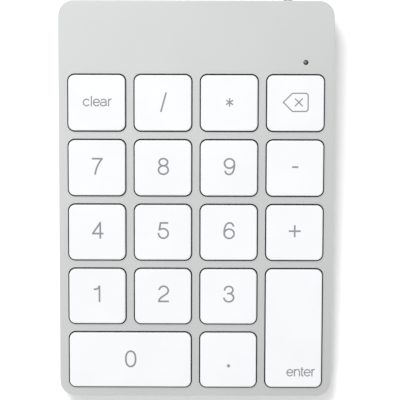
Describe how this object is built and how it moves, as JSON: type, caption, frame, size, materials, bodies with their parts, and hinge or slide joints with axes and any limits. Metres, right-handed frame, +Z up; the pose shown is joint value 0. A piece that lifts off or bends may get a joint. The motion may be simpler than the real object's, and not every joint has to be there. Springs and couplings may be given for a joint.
{
  "type": "numeric keypad",
  "caption": "Slim wireless numeric keypad: tilted silver aluminium deck with white island keys on scissors, wedge base, power slide and charging socket at the rear.",
  "frame": {"origin": "middle of the bounding box at the underside of the feet", "axes": "+X to the right of the keys, +Y from the front edge to the rear edge, +Z up from the desk; the deck slopes up 3 degrees towards +Y"},
  "size_m": [0.0794, 0.1162, 0.0112],
  "materials": {
    "anodised_aluminium": "fine bead-blasted and clear anodised, silver",
    "key_plastic": "satin, very fine moulded grain",
    "base_plastic": "fine moulded spark texture",
    "link_plastic": "plain moulded acetal, black",
    "steel_sheet": "galvanised sheet",
    "polyester_film": "film printed black",
    "dome_silicone": "translucent silicone",
    "circuit_board": "green solder mask",
    "shield_can": "tin-plated",
    "connector_plastic": "moulded nylon",
    "cell_pouch": "laminated foil pouch",
    "foam_tape": "double-sided tape",
    "wire_insulation": "soft insulation, one red and one black",
    "plated_socket": "nickel-plated",
    "switch_metal": "stamped frame",
    "switch_plastic": "dark grey acetal",
    "led_chip": "clear encapsulant",
    "smoked_lens": "smoked clear, polished",
    "spring_wire": "bright drawn wire",
    "screw_steel": "nickel-plated",
    "foot_rubber": "matt"
  },
  "bodies": {
    "case": {"top_case": "anodised_aluminium", "bottom_cover": "base_plastic", "base_plate": "steel_sheet", "membrane": "polyester_film", "rubber_domes": "dome_silicone", "main_board": "circuit_board", "radio_module": "shield_can", "tail_connector": "connector_plastic", "battery": "cell_pouch", "battery_tape": "foam_tape", "battery_lead": "wire_insulation", "battery_connector": "connector_plastic", "charge_socket": "plated_socket", "switch_housing": "switch_metal", "status_led": "led_chip", "light_guide": "smoked_lens", "plate_screws": "screw_steel", "case_screws": "screw_steel", "feet": "foot_rubber"},
    "key_clear": {"key_clear": "key_plastic"},
    "scissor_clear": {"scissor_clear": "link_plastic"},
    "key_divide": {"key_divide": "key_plastic"},
    "scissor_divide": {"scissor_divide": "link_plastic"},
    "key_multiply": {"key_multiply": "key_plastic"},
    "scissor_multiply": {"scissor_multiply": "link_plastic"},
    "key_delete": {"key_delete": "key_plastic"},
    "scissor_delete": {"scissor_delete": "link_plastic"},
    "key_7": {"key_7": "key_plastic"},
    "scissor_7": {"scissor_7": "link_plastic"},
    "key_8": {"key_8": "key_plastic"},
    "scissor_8": {"scissor_8": "link_plastic"},
    "key_9": {"key_9": "key_plastic"},
    "scissor_9": {"scissor_9": "link_plastic"},
    "key_minus": {"key_minus": "key_plastic"},
    "scissor_minus": {"scissor_minus": "link_plastic"},
    "key_4": {"key_4": "key_plastic"},
    "scissor_4": {"scissor_4": "link_plastic"},
    "key_5": {"key_5": "key_plastic"},
    "scissor_5": {"scissor_5": "link_plastic"},
    "key_6": {"key_6": "key_plastic"},
    "scissor_6": {"scissor_6": "link_plastic"},
    "key_plus": {"key_plus": "key_plastic"},
    "scissor_plus": {"scissor_plus": "link_plastic"},
    "key_1": {"key_1": "key_plastic"},
    "scissor_1": {"scissor_1": "link_plastic"},
    "key_2": {"key_2": "key_plastic"},
    "scissor_2": {"scissor_2": "link_plastic"},
    "key_3": {"key_3": "key_plastic"},
    "scissor_3": {"scissor_3": "link_plastic"},
    "key_0": {"key_0": "key_plastic"},
    "scissor_0": {"scissor_0": "link_plastic"},
    "key_decimal": {"key_decimal": "key_plastic"},
    "scissor_decimal": {"scissor_decimal": "link_plastic"},
    "key_enter": {"key_enter": "key_plastic"},
    "scissor_enter": {"scissor_enter": "link_plastic"},
    "stabiliser_0": {"stabiliser_0": "spring_wire"},
    "stabiliser_enter": {"stabiliser_enter": "spring_wire"},
    "switch_slider": {"switch_slider": "switch_plastic"}
  },
  "joints": [
    {"name": "press_clear", "type": "slide", "parent": "case", "child": "key_clear", "axis": [0, 0.0523, -0.9986], "range_m": [0, 0.0012], "deforming": ["rubber_domes", "scissor_clear"]},
    {"name": "scissor_sink_clear", "type": "slide", "parent": "case", "child": "scissor_clear", "axis": [0, 0.0523, -0.9986], "range_m": [0, 0.0006]},
    {"name": "press_divide", "type": "slide", "parent": "case", "child": "key_divide", "axis": [0, 0.0523, -0.9986], "range_m": [0, 0.0012], "deforming": ["rubber_domes", "scissor_divide"]},
    {"name": "scissor_sink_divide", "type": "slide", "parent": "case", "child": "scissor_divide", "axis": [0, 0.0523, -0.9986], "range_m": [0, 0.0006]},
    {"name": "press_multiply", "type": "slide", "parent": "case", "child": "key_multiply", "axis": [0, 0.0523, -0.9986], "range_m": [0, 0.0012], "deforming": ["rubber_domes", "scissor_multiply"]},
    {"name": "scissor_sink_multiply", "type": "slide", "parent": "case", "child": "scissor_multiply", "axis": [0, 0.0523, -0.9986], "range_m": [0, 0.0006]},
    {"name": "press_delete", "type": "slide", "parent": "case", "child": "key_delete", "axis": [0, 0.0523, -0.9986], "range_m": [0, 0.0012], "deforming": ["rubber_domes", "scissor_delete"]},
    {"name": "scissor_sink_delete", "type": "slide", "parent": "case", "child": "scissor_delete", "axis": [0, 0.0523, -0.9986], "range_m": [0, 0.0006]},
    {"name": "press_7", "type": "slide", "parent": "case", "child": "key_7", "axis": [0, 0.0523, -0.9986], "range_m": [0, 0.0012], "deforming": ["rubber_domes", "scissor_7"]},
    {"name": "scissor_sink_7", "type": "slide", "parent": "case", "child": "scissor_7", "axis": [0, 0.0523, -0.9986], "range_m": [0, 0.0006]},
    {"name": "press_8", "type": "slide", "parent": "case", "child": "key_8", "axis": [0, 0.0523, -0.9986], "range_m": [0, 0.0012], "deforming": ["rubber_domes", "scissor_8"]},
    {"name": "scissor_sink_8", "type": "slide", "parent": "case", "child": "scissor_8", "axis": [0, 0.0523, -0.9986], "range_m": [0, 0.0006]},
    {"name": "press_9", "type": "slide", "parent": "case", "child": "key_9", "axis": [0, 0.0523, -0.9986], "range_m": [0, 0.0012], "deforming": ["rubber_domes", "scissor_9"]},
    {"name": "scissor_sink_9", "type": "slide", "parent": "case", "child": "scissor_9", "axis": [0, 0.0523, -0.9986], "range_m": [0, 0.0006]},
    {"name": "press_minus", "type": "slide", "parent": "case", "child": "key_minus", "axis": [0, 0.0523, -0.9986], "range_m": [0, 0.0012], "deforming": ["rubber_domes", "scissor_minus"]},
    {"name": "scissor_sink_minus", "type": "slide", "parent": "case", "child": "scissor_minus", "axis": [0, 0.0523, -0.9986], "range_m": [0, 0.0006]},
    {"name": "press_4", "type": "slide", "parent": "case", "child": "key_4", "axis": [0, 0.0523, -0.9986], "range_m": [0, 0.0012], "deforming": ["rubber_domes", "scissor_4"]},
    {"name": "scissor_sink_4", "type": "slide", "parent": "case", "child": "scissor_4", "axis": [0, 0.0523, -0.9986], "range_m": [0, 0.0006]},
    {"name": "press_5", "type": "slide", "parent": "case", "child": "key_5", "axis": [0, 0.0523, -0.9986], "range_m": [0, 0.0012], "deforming": ["rubber_domes", "scissor_5"]},
    {"name": "scissor_sink_5", "type": "slide", "parent": "case", "child": "scissor_5", "axis": [0, 0.0523, -0.9986], "range_m": [0, 0.0006]},
    {"name": "press_6", "type": "slide", "parent": "case", "child": "key_6", "axis": [0, 0.0523, -0.9986], "range_m": [0, 0.0012], "deforming": ["rubber_domes", "scissor_6"]},
    {"name": "scissor_sink_6", "type": "slide", "parent": "case", "child": "scissor_6", "axis": [0, 0.0523, -0.9986], "range_m": [0, 0.0006]},
    {"name": "press_plus", "type": "slide", "parent": "case", "child": "key_plus", "axis": [0, 0.0523, -0.9986], "range_m": [0, 0.0012], "deforming": ["rubber_domes", "scissor_plus"]},
    {"name": "scissor_sink_plus", "type": "slide", "parent": "case", "child": "scissor_plus", "axis": [0, 0.0523, -0.9986], "range_m": [0, 0.0006]},
    {"name": "press_1", "type": "slide", "parent": "case", "child": "key_1", "axis": [0, 0.0523, -0.9986], "range_m": [0, 0.0012], "deforming": ["rubber_domes", "scissor_1"]},
    {"name": "scissor_sink_1", "type": "slide", "parent": "case", "child": "scissor_1", "axis": [0, 0.0523, -0.9986], "range_m": [0, 0.0006]},
    {"name": "press_2", "type": "slide", "parent": "case", "child": "key_2", "axis": [0, 0.0523, -0.9986], "range_m": [0, 0.0012], "deforming": ["rubber_domes", "scissor_2"]},
    {"name": "scissor_sink_2", "type": "slide", "parent": "case", "child": "scissor_2", "axis": [0, 0.0523, -0.9986], "range_m": [0, 0.0006]},
    {"name": "press_3", "type": "slide", "parent": "case", "child": "key_3", "axis": [0, 0.0523, -0.9986], "range_m": [0, 0.0012], "deforming": ["rubber_domes", "scissor_3"]},
    {"name": "scissor_sink_3", "type": "slide", "parent": "case", "child": "scissor_3", "axis": [0, 0.0523, -0.9986], "range_m": [0, 0.0006]},
    {"name": "press_0", "type": "slide", "parent": "case", "child": "key_0", "axis": [0, 0.0523, -0.9986], "range_m": [0, 0.0012], "deforming": ["rubber_domes", "scissor_0"]},
    {"name": "scissor_sink_0", "type": "slide", "parent": "case", "child": "scissor_0", "axis": [0, 0.0523, -0.9986], "range_m": [0, 0.0006]},
    {"name": "press_decimal", "type": "slide", "parent": "case", "child": "key_decimal", "axis": [0, 0.0523, -0.9986], "range_m": [0, 0.0012], "deforming": ["rubber_domes", "scissor_decimal"]},
    {"name": "scissor_sink_decimal", "type": "slide", "parent": "case", "child": "scissor_decimal", "axis": [0, 0.0523, -0.9986], "range_m": [0, 0.0006]},
    {"name": "press_enter", "type": "slide", "parent": "case", "child": "key_enter", "axis": [0, 0.0523, -0.9986], "range_m": [0, 0.0012], "deforming": ["rubber_domes", "scissor_enter"]},
    {"name": "scissor_sink_enter", "type": "slide", "parent": "case", "child": "scissor_enter", "axis": [0, 0.0523, -0.9986], "range_m": [0, 0.0006]},
    {"name": "stabiliser_turn_0", "type": "hinge", "parent": "case", "child": "stabiliser_0", "pos_m": [-0.01905, -0.05381, 0.00327], "axis": [1, 0, 0], "range_deg": [-14.83, 0]},
    {"name": "stabiliser_turn_enter", "type": "hinge", "parent": "case", "child": "stabiliser_enter", "pos_m": [0.03528, -0.03775, 0.00411], "axis": [0, 0.9986, 0.0523], "range_deg": [-14.83, 0]},
    {"name": "power_switch", "type": "slide", "parent": "case", "child": "switch_slider", "axis": [1, 0, 0], "range_m": [-0.002, 0]}
  ],
  "couplings": [
    {"joint": "scissor_sink_clear", "follows": "press_clear", "ratio": 0.5},
    {"joint": "scissor_sink_divide", "follows": "press_divide", "ratio": 0.5},
    {"joint": "scissor_sink_multiply", "follows": "press_multiply", "ratio": 0.5},
    {"joint": "scissor_sink_delete", "follows": "press_delete", "ratio": 0.5},
    {"joint": "scissor_sink_7", "follows": "press_7", "ratio": 0.5},
    {"joint": "scissor_sink_8", "follows": "press_8", "ratio": 0.5},
    {"joint": "scissor_sink_9", "follows": "press_9", "ratio": 0.5},
    {"joint": "scissor_sink_minus", "follows": "press_minus", "ratio": 0.5},
    {"joint": "scissor_sink_4", "follows": "press_4", "ratio": 0.5},
    {"joint": "scissor_sink_5", "follows": "press_5", "ratio": 0.5},
    {"joint": "scissor_sink_6", "follows": "press_6", "ratio": 0.5},
    {"joint": "scissor_sink_plus", "follows": "press_plus", "ratio": 0.5},
    {"joint": "scissor_sink_1", "follows": "press_1", "ratio": 0.5},
    {"joint": "scissor_sink_2", "follows": "press_2", "ratio": 0.5},
    {"joint": "scissor_sink_3", "follows": "press_3", "ratio": 0.5},
    {"joint": "scissor_sink_0", "follows": "press_0", "ratio": 0.5},
    {"joint": "scissor_sink_decimal", "follows": "press_decimal", "ratio": 0.5},
    {"joint": "scissor_sink_enter", "follows": "press_enter", "ratio": 0.5},
    {"joint": "stabiliser_turn_0", "follows": "press_0", "rad_per_m": -215.5},
    {"joint": "stabiliser_turn_enter", "follows": "press_enter", "rad_per_m": -215.5}
  ]
}
